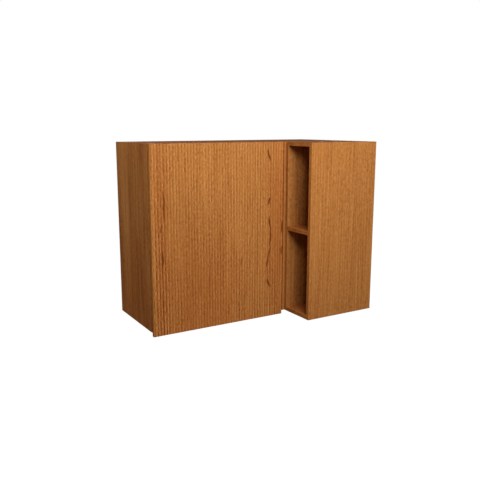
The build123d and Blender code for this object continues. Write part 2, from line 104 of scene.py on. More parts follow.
def colour(name, description, default):
    """Colour setting with linear red, green and blue."""
    return FloatVectorProperty(
        name=name, description=description, subtype="COLOR", size=3, min=0.0, max=1.0, default=default)


def length(name, description, default):
    """Length setting in metres."""
    return FloatProperty(
        name=name, description=description, subtype="DISTANCE", unit="LENGTH", min=0.0, precision=5,
        default=default)


def share(name, description, default):
    """Setting between nothing and all."""
    return FloatProperty(
        name=name, description=description, subtype="FACTOR", min=0.0, max=1.0, default=default)


def place(name, description, default):
    """Point in the shared frame."""
    return FloatVectorProperty(
        name=name, description=description, subtype="TRANSLATION", unit="LENGTH", default=default)


def power(name, description, default):
    """Lamp power in watts."""
    return FloatProperty(name=name, description=description, unit="POWER", min=0.0, default=default)


class WoodDecorSettings(bpy.types.PropertyGroup):
    """Printed wood decor of the boards, their edges and their core."""
    honey: colour("Honey", "Main colour of the wood decor", (0.470, 0.181, 0.0445))
    pale: colour("Pale streaks", "Colour of the lightest streaks", (0.640, 0.292, 0.092))
    dark: colour("Dark streaks", "Colour of the darkest grain", (0.240, 0.066, 0.012))
    # The fleck colour is also used for the painted shade on upper faces and beside the door gap
    fleck: colour("Flecks", "Colour of the short dark marks in the grain", (0.165, 0.040, 0.007))
    # The russet tint follows the print's redder figure in part, and in part is painted shade on lower parts
    russet: colour("Russet tint", "Tint laid over the redder zones of the boards", (0.965, 0.830, 0.760))
    stripe_spacing: length("Stripe spacing", "Distance between the fine stripes of the door", 0.01248)
    stripe_start: length("Stripe start", "Distance of one of the stripes from the frame's origin", 0.00774)
    stripe_depth: share("Stripe depth", "How clearly the fine stripes of the door show", 0.150)
    edge_shade: share("Edging shade", "How much darker the edge bands are than the faces", 0.08)
    satin: share("Satin", "Roughness of the lacquered print", 0.66)
    edge_wear: share("Edge wear", "How much the corners are rubbed pale", 0.30)
    chip_pale: colour("Pale chips", "Lightest chips of the chipboard core", (0.560, 0.390, 0.220))
    chip_dark: colour("Dark chips", "Darkest chips of the chipboard core", (0.215, 0.120, 0.055))
    hardboard: colour("Hardboard", "Rear face of the thin backs", (0.300, 0.175, 0.090))


class HardwareSettings(bpy.types.PropertyGroup):
    """Metal, plastic and rubber of the small pieces."""
    nickel: colour("Nickel", "Plated steel of hinges and shelf supports", (0.640, 0.610, 0.560))
    fastener: colour("Fastener steel", "Bright zinc-plated screws and bolts", (0.560, 0.570, 0.590))
    zinc: colour("Cast zinc", "Cams in the boards", (0.300, 0.300, 0.308))
    galvanised: colour("Galvanised steel", "Wall rail and hooks", (0.420, 0.435, 0.445))
    spangle: length("Spangle size", "Size of the crystals on galvanised steel", 0.007)
    hanger: colour("Hanger plastic", "Moulded bodies of the cabinet hangers", (0.700, 0.685, 0.640))
    cap: colour("Cap plastic", "Caps over the cams", (0.330, 0.128, 0.034))
    rubber: colour("Bumper rubber", "Soft bumpers behind the door", (0.520, 0.490, 0.430))
    beech: colour("Beech", "Dowels", (0.560, 0.350, 0.190))


class StageSettings(bpy.types.PropertyGroup):
    """Camera, lamps, floor and background."""
    camera_place: place("Camera place", "Where the camera stands", (-1.2954, -2.3967, 0.1220))
    camera_turn: FloatVectorProperty(
        name="Camera turn", description="How the camera is turned", subtype="EULER", unit="ROTATION",
        default=(math.radians(79.219), 0.0, math.radians(-30.590)))
    camera_lens: FloatProperty(
        name="Lens", description="Focal length on a 36 mm sensor", unit="CAMERA", min=1.0, default=44.77)
    key_place: place("Front lamp", "Middle of the front soft box", (-0.27, -1.95, 0.76))
    key_power: power("Front power", "Power of the front soft box", 37.4)
    side_place: place("Side lamp", "Middle of the soft box at the left", (-1.45, -0.12, 0.52))
    side_power: power("Side power", "Power of the soft box at the left", 4.9)
    rear_place: place("Rear lamp", "Middle of the soft box behind the cabinet", (1.35, 1.60, -0.50))
    rear_power: power("Rear power", "Power of the soft box behind the cabinet", 22.0)
    ambient: share("Ambient", "Level of the even light from all round", 0.07)
    ambient_tint: colour("Ambient tint", "Colour of the even light from all round", (1.0, 0.90, 0.79))
    floor_drop: length("Floor drop", "Height at which the cabinet hangs over the floor", 1.40)
    floor_glow: share("Floor glow", "How white the floor is where no lamp reaches it", 0.94)
    floor_white: colour("Floor", "Colour of the floor", (0.70, 0.70, 0.70))


class CabinetLooks(bpy.types.PropertyGroup):
    """All settings of the cabinet's looks."""
    wood: PointerProperty(
        type=WoodDecorSettings, name="Wood decor", description="Finish of the boards")
    hardware: PointerProperty(
        type=HardwareSettings, name="Hardware", description="Finish of the small pieces")
    stage: PointerProperty(
        type=StageSettings, name="Stage", description="Camera, lamps and floor")


# Finishes

class Recipe:
    """Finish written step by step as shader nodes, in the coordinates of the shared frame."""

    def __init__(self, name):
        self.material = bpy.data.materials.new(name)
        self.material.use_nodes = True
        self.nodes = self.material.node_tree.nodes
        self.links = self.material.node_tree.links
        self.shader = self.nodes["Principled BSDF"]
        self.place = self.nodes.new("ShaderNodeTexCoord").outputs["Object"]

    def feed(self, socket, value):
        """Links a node's output to a socket, or sets a plain value there."""
        if isinstance(value, bpy.types.NodeSocket):
            self.links.new(value, socket)
        elif isinstance(value, (int, float)):
            socket.default_value = value
        else:
            socket.default_value = (*value, 1.0) if len(socket.default_value) == 4 else tuple(value)

    def step(self, kind, inputs, output=0, **settings):
        """Adds one node, feeds its inputs by index or name and gives one of its outputs."""
        node = self.nodes.new("ShaderNode" + kind)
        for setting, value in settings.items():
            setattr(node, setting, value)
        for key, value in inputs.items():
            self.feed(node.inputs[key], value)
        return node.outputs[output]

    def maths(self, operation, a, b=0.0, c=0.0):
        return self.step("Math", {0: a, 1: b, 2: c}, operation=operation)

    def vector(self, operation, a, b):
        return self.step("VectorMath", {0: a, 1: b}, operation=operation)

    def parts(self, vector):
        node = self.nodes.new("ShaderNodeSeparateXYZ")
        self.feed(node.inputs[0], vector)
        return list(node.outputs)

    def stretched(self, scale, shift=(0.0, 0.0, 0.0)):
        """Shared frame coordinates scaled along each axis."""
        return self.step("Mapping", {"Vector": self.place, "Scale": scale, "Location": shift})

    def even(self, scale, shift=(0.0, 0.0, 0.0)):
        """Shared frame coordinates scaled alike along all axes."""
        return self.stretched((scale, scale, scale), shift)

    def noise(self, vector, detail=2.0, roughness=0.5, distortion=0.0):
        """Cloudy value round a half, one cloud to each unit of the coordinates."""
        return self.step("TexNoise", {
            "Vector": vector, "Scale": 1.0, "Detail": detail, "Roughness": roughness,
            "Distortion": distortion})

    def between(self, value, low, high):
        """Smooth rise from nothing at low to one at high."""
        if low < high:
            return self.step("MapRange", {0: value, 1: low, 2: high}, interpolation_type="SMOOTHSTEP")
        inputs = {0: value, 1: high, 2: low, 3: 1.0, 4: 0.0}
        return self.step("MapRange", inputs, interpolation_type="SMOOTHSTEP")

    def spread(self, value, low, high):
        """Nothing to one turned into low to high."""
        return self.step("MapRange", {0: value, 3: low, 4: high})

    def swing(self, value, amount):
        """Noise round a half turned into a swing round nothing."""
        return self.maths("MULTIPLY_ADD", value, 2.0 * amount, -amount)

    def blend(self, factor, first, second, mode="MIX"):
        """First colour where the factor is nothing, second or their product where it is one."""
        inputs = {0: factor, 6: first, 7: second}
        return self.step("Mix", inputs, output=2, data_type="RGBA", blend_type=mode)

    def tones(self, value, *colours):
        """Colours spread evenly over a value from nothing to one."""
        node = self.nodes.new("ShaderNodeValToRGB")
        ramp = node.color_ramp
        while len(ramp.elements) < len(colours):
            ramp.elements.new(0.5)
        for index, tone in enumerate(colours):
            ramp.elements[index].position = index / (len(colours) - 1)
            ramp.elements[index].color = (*tone, 1.0)
        self.feed(node.inputs[0], value)
        return node.outputs[0]

    def relief(self, height, depth, strength):
        """Bump of a real depth on the shader's normal."""
        self.feed(self.shader.inputs["Normal"], self.step(
            "Bump", {"Height": height, "Distance": depth, "Strength": strength}))

    def finish(self, base, roughness, **sockets):
        """Feeds the shader and gives the material."""
        self.feed(self.shader.inputs["Base Color"], base)
        self.feed(self.shader.inputs["Roughness"], roughness)
        for name, value in sockets.items():
            self.feed(self.shader.inputs[name.replace("_", " ")], value)
        return self.material


def scaled(colour_value, factor):
    """Colour made lighter or darker."""
    return tuple(min(1.0, channel * factor) for channel in colour_value)


def dress(node, material):
    """Puts a finish in a CAD node's material slot."""
    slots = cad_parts[node].data.materials
    slots.clear()
    slots.append(material)


def finish_board(node, wood, grain, figure, raw_sides=(), painted_shade_sides=(), backing=None, stripes=0.0, drift=0.18,
                 bands=0.30, streaks=0.26, dashes=0.40, shade=0.0, zones=(), flecks=(), deeper=()):
    """Dresses one board in printed wood decor over chipboard, fitted to the board's own box.

    The grain runs along one axis, and the figure's number gives each board a grain of its own.
    Raw sides are (axis, end) pairs that show the chipboard core.
    The list after the raw sides gives sides darkened with painted shade, as (axis, end, reach, strength).
    A backing axis makes the far side of a thin back plain hardboard.
    Stripes says how deep its fine stripes are, and drift how far they stray from even spacing.
    Bands, streaks and dashes say how strongly the broad, long and short figure of the grain shows.
    Shade makes the whole board darker. The last three list marks on its near face, as grain_mark takes them:
    zones are redder, in part print and in part painted shade, flecks are dark, and the stripes show more
    inside the deeper ones.
    """
    low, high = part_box(node)
    thickness = min(range(3), key=lambda axis: high[axis] - low[axis])
    r = Recipe(node + "_decor")
    shift = tuple(figure * step for step in FIGURE_STEP)

    def along_grain(across, along):
        scale = [across, across, across]
        scale[grain] = along
        return r.stretched(scale, shift)

    def from_side(axis, end):
        side = high[axis] if end > 0 else low[axis]
        return r.maths("ABSOLUTE", r.maths("SUBTRACT", r.parts(r.place)[axis], side))

    def marked(softness, mark):
        return grain_mark(r, thickness, low[thickness], softness, *mark)

    # Depth under the nearest face, and under the second nearest, which is small along an edge
    near = r.vector("MINIMUM", r.vector("SUBTRACT", r.place, low), r.vector("SUBTRACT", high, r.place))
    gaps = r.parts(near)
    nearer = r.maths("MINIMUM", gaps[0], gaps[1])
    farther = r.maths("MAXIMUM", gaps[0], gaps[1])
    to_face = r.maths("MINIMUM", nearer, gaps[2])
    to_edge = r.maths("MAXIMUM", nearer, r.maths("MINIMUM", farther, gaps[2]))
    on_edging = r.between(gaps[thickness], EDGING_FROM, EDGING_FULL)

    # Grain, from the broad figure to the pores
    band = r.noise(along_grain(9.0, 1.3), 2.0, 0.5, 0.3)
    streak = r.noise(along_grain(34.0, 2.2), 3.0, 0.6, 0.4)
    dash = r.noise(along_grain(120.0, 85.0), 2.0, 0.5, 0.2)
    gathered = r.between(r.noise(along_grain(7.0, 3.0), 2.0), 0.38, 0.62)
    line = r.noise(along_grain(120.0, 3.0), 5.0, 0.65)
    pore = r.between(r.noise(along_grain(1500.0, 42.0), 1.0, 0.5), 0.57, 0.70)
    tone = r.maths("ADD", 0.5 - shade, r.swing(band, bands))
    tone = r.maths("ADD", tone, r.swing(streak, streaks))
    tone = r.maths("MULTIPLY_ADD", r.swing(dash, dashes), r.spread(gathered, 0.6, 1.0), tone)
    tone = r.maths("ADD", tone, r.swing(line, 0.36))

    # Fine stripes, dark at the end of each spacing, with ragged sides and worn places
    if stripes:
        axis = next(index for index in (ACROSS_X, ACROSS_Y) if index not in (grain, thickness))
        across = r.maths("SUBTRACT", r.parts(r.place)[axis], wood.stripe_start)
        wander = r.swing(r.noise(along_grain(38.0, 1.5), 1.0), drift)
        wander = r.maths("ADD", wander, r.swing(r.noise(along_grain(420.0, 10.0), 3.0, 0.65), 0.5))
        phase = r.maths("FRACT", r.maths("MULTIPLY_ADD", across, 1.0 / wood.stripe_spacing, wander))
        ring = r.maths("SUBTRACT", r.between(phase, 0.0, 0.75), r.between(phase, 0.80, 1.0))
        worn = r.spread(r.noise(along_grain(62.0, 2.4), 2.0), 0.1 * stripes, 1.9 * stripes)
        worn = r.maths("MULTIPLY", worn, r.spread(on_edging, 1.0, 0.2))
        for mark in deeper:
            worn = r.maths("MULTIPLY_ADD", worn, marked(ZONE_SOFTNESS, mark), worn)
        dotted = r.spread(r.noise(along_grain(70.0, 75.0), 1.0), -1.3, 3.3)
        tone = r.maths("MULTIPLY_ADD", r.swing(ring, 1.0), r.maths("MULTIPLY", worn, dotted), tone)
    tone = r.maths("MULTIPLY_ADD", pore, -0.26, tone)
    tone = r.maths("MULTIPLY_ADD", on_edging, -wood.edge_shade, tone)
    decor = r.tones(tone, wood.dark, wood.honey, wood.pale)
    for zone in zones:
        decor = r.blend(marked(ZONE_SOFTNESS, zone), decor, wood.russet, "MULTIPLY")
    for fleck in flecks:
        decor = r.blend(marked(FLECK_SOFTNESS, fleck), decor, wood.fleck)
    # Painted shade: sides darkened towards the fleck colour, on upper faces and beside the door gap
    for axis, end, reach, strength in painted_shade_sides:
        painted_shade = r.between(from_side(axis, end), reach, reach * 0.3)
        decor = r.blend(r.maths("MULTIPLY", painted_shade, strength), decor, wood.fleck)

    # Glue line of the edge band, and corners rubbed pale
    glue = r.maths("ABSOLUTE", r.maths("SUBTRACT", to_edge, GLUE_LINE))
    glue = r.between(glue, GLUE_HALF_WIDTH, 0.0)
    glue = r.maths("MULTIPLY", glue, r.spread(on_edging, 0.45, 0.0))
    decor = r.blend(glue, decor, wood.dark)
    rubbed = r.noise(r.even(140.0, shift), 3.0, 0.7)
    rubbed = r.maths("MULTIPLY", r.between(to_edge, WORN_FROM, WORN_FULL), r.between(rubbed, 0.42, 0.66))
    decor = r.blend(r.maths("MULTIPLY", rubbed, wood.edge_wear), decor, wood.pale)

    # Chipboard in bores, grooves and raw sides
    chip = r.noise(r.even(420.0, shift), 3.0, 0.75, 0.6)
    flake = r.step("TexVoronoi", {"Vector": r.even(260.0, shift), "Scale": 1.0}, output=1)
    flake = r.parts(flake)[0]
    core = r.tones(
        r.maths("MULTIPLY_ADD", flake, 0.45, r.swing(chip, 0.9)), wood.chip_dark,
        scaled(wood.chip_pale, 0.72), wood.chip_pale)
    bare = r.between(to_face, CORE_FROM, CORE_FULL)
    for axis, end in raw_sides:
        bare = r.maths("MAXIMUM", bare, r.between(from_side(axis, end), RAW_FROM, RAW_FULL))
    base = r.blend(bare, decor, core)
    rough = r.spread(line, wood.satin - 0.06, wood.satin + 0.08)
    rough = r.maths("ADD", rough, r.maths("MULTIPLY", rubbed, 0.15))
    rough = r.maths("MAXIMUM", rough, r.maths("MULTIPLY", bare, 0.85))

    # Hardboard at the rear of a thin back
    if backing is not None:
        middle = (low[backing] + high[backing]) / 2
        rear = r.between(r.parts(r.place)[backing], middle, middle + HARDBOARD_CHANGE)
        fibre = r.noise(r.even(900.0, shift), 3.0, 0.7, 1.2)
        cloud = r.noise(r.even(14.0, shift), 3.0, 0.6)
        dust = r.maths("ADD", r.maths("MULTIPLY", fibre, 0.75), r.swing(cloud, 0.35))
        board = r.tones(dust, scaled(wood.hardboard, 0.55), wood.hardboard, scaled(wood.hardboard, 1.7))
        base = r.blend(rear, base, board)
        rough = r.maths("MAXIMUM", rough, r.maths("MULTIPLY", rear, 0.78))
    grainy = r.maths("MULTIPLY_ADD", pore, -0.8, line)
    height = r.maths("MULTIPLY_ADD", bare, r.swing(chip, 3.0), grainy)
    r.relief(height, GRAIN_RELIEF, 0.35)
    dress(node, r.finish(base, rough, Specular_IOR_Level=0.02))


def grain_mark(r, thickness, face, softness, across, z, half_width, half_length, lean, strength):
    """Factor of one mark in the grain of an upright face, lens shaped, ragged and a little wavy.

    Its middle lies at a place across the face and a height z. Its lean is in degrees.
    """
    side = ACROSS_Y if thickness == ACROSS_X else ACROSS_X
    wave = r.swing(r.noise(r.stretched((0.0, 0.0, 26.0), (across * 31.0, 0.0, z * 7.0)), 1.0), 0.006)
    moved = r.vector("ADD", r.place, r.step("CombineXYZ", {side: wave}))
    middle, reach, turn = [0.0, 0.0, z], [0.0, 0.0, half_length], [0.0, 0.0, 0.0]
    middle[side], reach[side] = across, half_width
    middle[thickness], reach[thickness] = face, MARK_DEPTH
    turn[thickness] = math.radians(lean)
    inputs = {"Vector": moved, "Location": middle, "Rotation": turn, "Scale": reach}
    lens = r.step("Mapping", inputs, vector_type="TEXTURE")
    mark = r.step("TexGradient", {"Vector": lens}, output=1, gradient_type="SPHERICAL")
    ragged = r.noise(r.stretched((300.0, 300.0, 46.0)), 3.0, 0.65)
    mark = r.between(mark, 0.0, softness)
    return r.maths("MULTIPLY", mark, r.spread(ragged, 0.35 * strength, 1.5 * strength))


def plated_finish(name, tint, polish, brushed=(260.0, 260.0, 18.0)):
    """Plated steel with faint drawing lines, smudges and fine scratches."""
    r = Recipe(name)
    drawn = r.noise(r.stretched(brushed), 3.0, 0.6)
    smudge = r.noise(r.even(55.0), 4.0, 0.6)
    scratch = r.between(r.noise(r.stretched((1600.0, 240.0, 90.0)), 2.0, 0.6), 0.66, 0.74)
    tone = r.maths("ADD", r.maths("MULTIPLY", smudge, 0.7), r.swing(drawn, 0.35))
    base = r.tones(tone, scaled(tint, 0.72), tint, scaled(tint, 1.18))
    rough = r.maths("ADD", r.spread(smudge, polish, polish + 0.16), r.maths("MULTIPLY", scratch, 0.12))
    r.relief(r.maths("MULTIPLY_ADD", scratch, -0.6, drawn), 0.00004, 0.3)
    return r.finish(base, rough, Metallic=1.0)


def galvanised_finish(name, tint, spangle):
    """Hot-dip zinc with crystals of different grey and a dull film."""
    r = Recipe(name)
    size = 1.0 / spangle
    bent = r.vector("ADD", r.even(size), r.step(
        "TexNoise", {"Vector": r.even(size), "Scale": 0.8, "Detail": 2.0}, output=1))
    crystal = r.parts(r.step("TexVoronoi", {"Vector": bent, "Scale": 1.0}, output=1))[0]
    film = r.noise(r.even(70.0), 4.0, 0.65)
    tone = r.maths("ADD", r.maths("MULTIPLY", crystal, 0.6), r.swing(film, 0.5))
    base = r.tones(tone, scaled(tint, 0.70), tint, scaled(tint, 1.30))
    rough = r.maths("ADD", r.spread(crystal, 0.44, 0.60), r.swing(film, 0.10))
    r.relief(r.maths("ADD", crystal, film), 0.00005, 0.35)
    return r.finish(base, rough, Metallic=1.0)


def cast_finish(name, tint):
    """Pressure-cast zinc, dull and finely pitted."""
    r = Recipe(name)
    skin = r.noise(r.even(900.0), 4.0, 0.7)
    flow = r.noise(r.even(150.0), 3.0, 0.6, 0.8)
    tone = r.maths("ADD", r.maths("MULTIPLY", flow, 0.8), r.swing(skin, 0.3))
    base = r.tones(tone, scaled(tint, 0.65), tint, scaled(tint, 1.25))
    r.relief(skin, 0.00010, 0.5)
    return r.finish(base, r.spread(flow, 0.52, 0.70), Metallic=1.0)


def moulded_finish(name, tint, sheen_roughness, shine=0.5):
    """Moulded plastic with a fine spark-eroded skin and slight flow shading."""
    r = Recipe(name)
    skin = r.noise(r.even(1800.0), 2.0, 0.6)
    flow = r.noise(r.even(45.0), 3.0, 0.6, 0.5)
    dust = r.between(r.noise(r.even(520.0), 3.0, 0.7), 0.60, 0.80)
    base = r.tones(flow, scaled(tint, 0.84), tint, scaled(tint, 1.10))
    base = r.blend(r.maths("MULTIPLY", dust, 0.25), base, scaled(tint, 0.6))
    r.relief(skin, 0.00006, 0.4)
    return r.finish(
        base, r.spread(flow, sheen_roughness - 0.06, sheen_roughness + 0.10), Specular_IOR_Level=shine)


def beech_finish(name, tint):
    """Beech rod with short dark rays and fluted glue grooves."""
    r = Recipe(name)
    ray = r.between(r.noise(r.stretched((1100.0, 1100.0, 320.0)), 1.0), 0.60, 0.70)
    grain = r.noise(r.stretched((190.0, 420.0, 420.0)), 3.0, 0.6)
    fleck = r.maths("MULTIPLY", ray, 0.4)
    base = r.tones(grain, scaled(tint, 0.75), tint, scaled(tint, 1.2))
    base = r.blend(fleck, base, scaled(tint, 0.45))
    r.relief(grain, 0.00015, 0.5)
    return r.finish(base, r.spread(grain, 0.55, 0.72))


# Small turned pieces

def solids_of(node):
    """Boxes of a CAD node's separate solids, as (lowest, highest) corners."""
    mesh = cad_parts[node].data
    owner = {}

    def root(key):
        while owner[key] != key:
            owner[key] = owner[owner[key]]
            key = owner[key]
        return key

    keys = [tuple(round(value, 6) for value in vertex.co) for vertex in mesh.vertices]
    for key in keys:
        owner[key] = key
    for polygon in mesh.polygons:
        first = root(keys[polygon.vertices[0]])
        for index in polygon.vertices[1:]:
            owner[root(keys[index])] = first
    groups = {}
    for key in owner:
        groups.setdefault(root(key), []).append(key)
    boxes = []
    for points in groups.values():
        boxes.append((Vector(map(min, *points)), Vector(map(max, *points))))
    return sorted(boxes, key=lambda corners: tuple(corners[0]))


def turned(bm, profile, matrix, sides=28):
    """Turns (radius, height) points about the matrix's Z axis and gives the last ring of vertices."""
    previous = None
    for radius, height in profile:
        ring = []
        for index in range(sides if radius else 1):
            angle = math.tau * index / sides
            point = Vector((radius * math.cos(angle), radius * math.sin(angle), height))
            ring.append(bm.verts.new(matrix @ point))
        if previous is not None:
            for index in range(sides):
                corners = [
                    previous[index % len(previous)], previous[(index + 1) % len(previous)],
                    ring[(index + 1) % len(ring)], ring[index % len(ring)]]
                bm.faces.new(list(dict.fromkeys(corners)))
        previous = ring
    return previous


def cross_recess(bm, rim, matrix, height, reach, depth):
    """Cross recess in a flat head, inside the ring of vertices that bounds it."""
    half = reach * 0.26
    outline = [(reach, -half), (reach, half), (half, half)]
    points = []
    for quarter in range(4):
        turn = Matrix.Rotation(quarter * math.pi / 2, 2)
        points.extend(turn @ Vector(point) for point in outline)
    mouth = [bm.verts.new(matrix @ Vector((*point, height))) for point in points]
    floor = [bm.verts.new(matrix @ Vector((*(point * 0.62), height - depth))) for point in points]
    edges = []
    for ring in (rim, mouth):
        for index, vertex in enumerate(ring):
            following = ring[(index + 1) % len(ring)]
            edges.append(bm.edges.get((vertex, following)) or bm.edges.new((vertex, following)))
    bmesh.ops.triangle_fill(bm, use_beauty=True, edges=edges)
    for index, vertex in enumerate(mouth):
        following = (index + 1) % len(mouth)
        bm.faces.new((vertex, mouth[following], floor[following], floor[index]))
    bm.faces.new(floor)


def made_piece(name, bm, material, body, slot, *replaced):
    """Turns a built mesh into a piece that rides on a body and stands for CAD nodes."""
    bmesh.ops.recalc_face_normals(bm, faces=bm.faces)
    mesh = bpy.data.meshes.new(name)
    bm.to_mesh(mesh)
    bm.free()
    mesh.polygons.foreach_set("use_smooth", [True] * len(mesh.polygons))
    mesh.set_sharp_from_angle(angle=SMOOTH_ANGLE)
    mesh.materials.append(material)
    piece = bpy.data.objects.new(name, mesh)
    bpy.context.scene.collection.objects.link(piece)
    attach(piece, body)
    if replaced:
        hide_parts(*replaced)


def facing(origin, direction):
    """Matrix whose Z axis points along a direction from an origin."""
    return Matrix.Translation(origin) @ Vector(direction).to_track_quat("Z", "Y").to_matrix().to_4x4()


def screw_group(name, node, direction, body, material, head_height, shank_radius):
    """Screws with rounded cross-recess heads and ringed threads, one for each solid of a node."""
    bm = bmesh.new()
    axis = max(range(3), key=lambda index: abs(direction[index]))
    across = (axis + 1) % 3
    for low, high in solids_of(node):
        origin = (low + high) / 2
        if direction[axis] > 0:
            origin[axis] = high[axis] - head_height
        else:
            origin[axis] = low[axis] + head_height
        radius = (high[across] - low[across]) / 2
        shank = high[axis] - low[axis] - head_height
        seat = facing(origin, direction)
        pitch = shank_radius * 0.9
        profile = [(0.0, -shank), (shank_radius * 0.45, -shank * 0.94)]
        level = -shank * 0.90
        while level < -pitch * 1.6:
            profile += [(shank_radius * 0.74, level), (shank_radius, level + pitch / 2)]
            level += pitch
        profile += [(shank_radius * 0.74, -pitch * 0.8), (shank_radius * 0.74, 0.0), (radius * 0.96, 0.0)]
        profile += [(radius, head_height * 0.16), (radius, head_height * 0.42)]
        profile += [(radius * 0.93, head_height * 0.72), (radius * 0.78, head_height * 0.93)]
        profile += [(radius * 0.66, head_height)]
        rim = turned(bm, profile, seat)
        cross_recess(bm, rim, seat, head_height, radius * 0.52, head_height * 0.8)
    made_piece(name, bm, material, body, "fastener_steel", node)


def cap_group(name, node, direction, material):
    """Domed caps with a rounded rim, one over each cam."""
    bm = bmesh.new()
    axis = max(range(3), key=lambda index: abs(direction[index]))
    across = (axis + 1) % 3
    for low, high in solids_of(node):
        origin = (low + high) / 2
        origin[axis] = low[axis] if direction[axis] > 0 else high[axis]
        radius = (high[across] - low[across]) / 2
        rise = high[axis] - low[axis]
        profile = [(0.0, 0.0), (radius * 0.97, 0.0), (radius, rise * 0.20), (radius * 0.985, rise * 0.45)]
        profile += [(radius * 0.93, rise * 0.68), (radius * 0.80, rise * 0.84), (radius * 0.55, rise * 0.95)]
        profile += [(radius * 0.28, rise * 0.99), (0.0, rise)]
        turned(bm, profile, facing(origin, direction))
    made_piece(name, bm, material, "cabinet", "cap_plastic", node)


def rim_group(name, node, board, material):
    """Thin round rims of the cams that lie open in a board's upper face."""
    bm = bmesh.new()
    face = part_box(board)[1][2]
    for low, high in solids_of(node):
        if face - high.z < OPEN_CAM_GAP:
            radius = (high.x - low.x) / 2
            origin = Vector(((low.x + high.x) / 2, (low.y + high.y) / 2, face))
            profile = [(radius * 1.13, 0.0), (radius * 1.12, 0.00025), (radius * 1.09, 0.00035)]
            profile += [(radius * 0.86, 0.00035), (radius * 0.83, 0.00020), (radius * 0.82, -0.00015)]
            turned(bm, profile, facing(origin, UPWARDS))
    made_piece(name, bm, material, "cabinet", "cast_zinc")


# Operators

class CABINET_OT_carcass(bpy.types.Operator):
    """Finish the boards of the straight cabinet"""
    bl_idname = "cabinet.carcass"
    bl_label = "Carcass Boards"

    def execute(self, context):
        wood = context.scene.cabinet_looks.wood
        rear = ((ACROSS_Y, 1),)
        # Painted shade: the lower part of the side panels tinted darker and redder
        zones = ((-0.170, -0.700, 0.600, 0.640, 0.0, 1.0),)
        for figure, node in enumerate(("left_side_panel", "right_side_panel"), 22):
            finish_board(
                node, wood, UPRIGHT, figure, rear, bands=0.50, streaks=0.46, dashes=0.36, zones=zones)
        # The top panel's upper face is darkened with painted shade
        finish_board("top_panel", wood, ACROSS_X, 3, rear, PAINTED_TOP_SHADE)
        finish_board("bottom_panel", wood, ACROSS_X, 4, rear)
        finish_board("adjustable_shelf", wood, ACROSS_X, 5)
        finish_board("front_stile", wood, UPRIGHT, 6)
        # Painted shadow along the door gap, and the whole panel darker as painted shade
        finish_board("blind_front_panel", wood, UPRIGHT, 7, painted_shade_sides=SHADED_JOINT, shade=0.10)
        finish_board("back_panel", wood, UPRIGHT, 8, backing=ACROSS_Y)
        return {"FINISHED"}


class CABINET_OT_niche(bpy.types.Operator):
    """Finish the boards of the open niche unit"""
    bl_idname = "cabinet.niche"
    bl_label = "Niche Boards"

    def execute(self, context):
        wood = context.scene.cabinet_looks.wood
        far = ((ACROSS_X, 1),)
        finish_board(
            "niche_front_panel", wood, UPRIGHT, 9, far, stripes=wood.stripe_depth * 0.49, drift=1.1,
            bands=0.06, streaks=0.06)
        finish_board("niche_rear_panel", wood, UPRIGHT, 10, far)
        # The niche top's upper face is darkened with painted shade
        finish_board("niche_top", wood, ACROSS_X, 11, far, PAINTED_TOP_SHADE)
        finish_board("niche_bottom", wood, ACROSS_X, 12, far, shade=0.14)
        finish_board("niche_shelf", wood, ACROSS_X, 13, far)
        finish_board("niche_back_panel", wood, UPRIGHT, 14, backing=ACROSS_X)
        return {"FINISHED"}


class CABINET_OT_door(bpy.types.Operator):
    """Finish the door and fit its bumpers"""
    bl_idname = "cabinet.door"
    bl_label = "Door"

    def execute(self, context):
        looks = context.scene.cabinet_looks
        # Of the door's zones, the first and last follow the print's redder figure, and the middle one is
        # painted shade low at the left
        # Marks as (across, z, half width, half length, lean, strength)
        zones = (
            (0.092, -0.340, 0.078, 0.660, 0.0, 0.8), (-0.250, -0.620, 0.330, 0.480, 0.0, 1.0),
            (-0.432, -0.320, 0.052, 0.700, 0.0, 0.8))
        flecks = (
            (0.092, -0.380, 0.052, 0.480, 0.0, 0.12), (-0.290, -0.400, 0.200, 0.360, 0.0, 0.12),
            (-0.430, -0.320, 0.034, 0.560, 0.0, 0.14),
            (-0.417, -0.172, 0.0052, 0.075, -0.5, 0.9), (-0.427, -0.375, 0.0060, 0.040, 2.0, 1.0),
            (-0.431, -0.258, 0.0054, 0.022, 14.0, 0.6),
            (0.052, 0.008, 0.0056, 0.034, -17.0, 1.0), (0.053, -0.180, 0.0064, 0.022, 20.0, 1.0),
            (0.056, -0.272, 0.0052, 0.040, -12.0, 1.0), (0.060, -0.332, 0.0056, 0.050, 4.0, 1.0),
            (0.053, -0.395, 0.0052, 0.032, 14.0, 0.9), (0.045, -0.436, 0.0058, 0.030, 10.0, 0.9),
            (0.052, -0.527, 0.0064, 0.026, -21.0, 1.0), (0.117, -0.292, 0.0060, 0.036, 0.0, 0.9),
            (0.118, -0.393, 0.0056, 0.024, 0.0, 0.8), (-0.079, -0.420, 0.0040, 0.026, 10.0, 0.7))
        deeper = (
            (-0.432, -0.520, 0.044, 0.420, 0.0, 1.3), (-0.440, -0.300, 0.100, 0.800, 0.0, 0.4),
            (-0.250, -0.760, 0.560, 0.620, 0.0, 0.35))
        finish_board(
            "door_panel", looks.wood, UPRIGHT, 33, stripes=looks.wood.stripe_depth, bands=0.10, streaks=0.16,
            dashes=0.46, zones=zones, flecks=flecks, deeper=deeper)
        bm = bmesh.new()
        for low, high in solids_of("door_bumpers"):
            radius = (high.x - low.x) / 2
            rise = high.y - low.y
            foot = Vector(((low.x + high.x) / 2, low.y, (low.z + high.z) / 2))
            profile = [(0.0, 0.0), (radius, 0.0), (radius, rise * 0.25), (radius * 0.94, rise * 0.55)]
            profile += [(radius * 0.78, rise * 0.82), (radius * 0.45, rise * 0.97), (0.0, rise)]
            turned(bm, profile, facing(foot, TO_WALL))
        rubber = moulded_finish("bumper_rubber", looks.hardware.rubber, sheen_roughness=0.36)
        made_piece("soft_bumpers", bm, rubber, "door", "bumper_rubber", "door_bumpers")
        return {"FINISHED"}


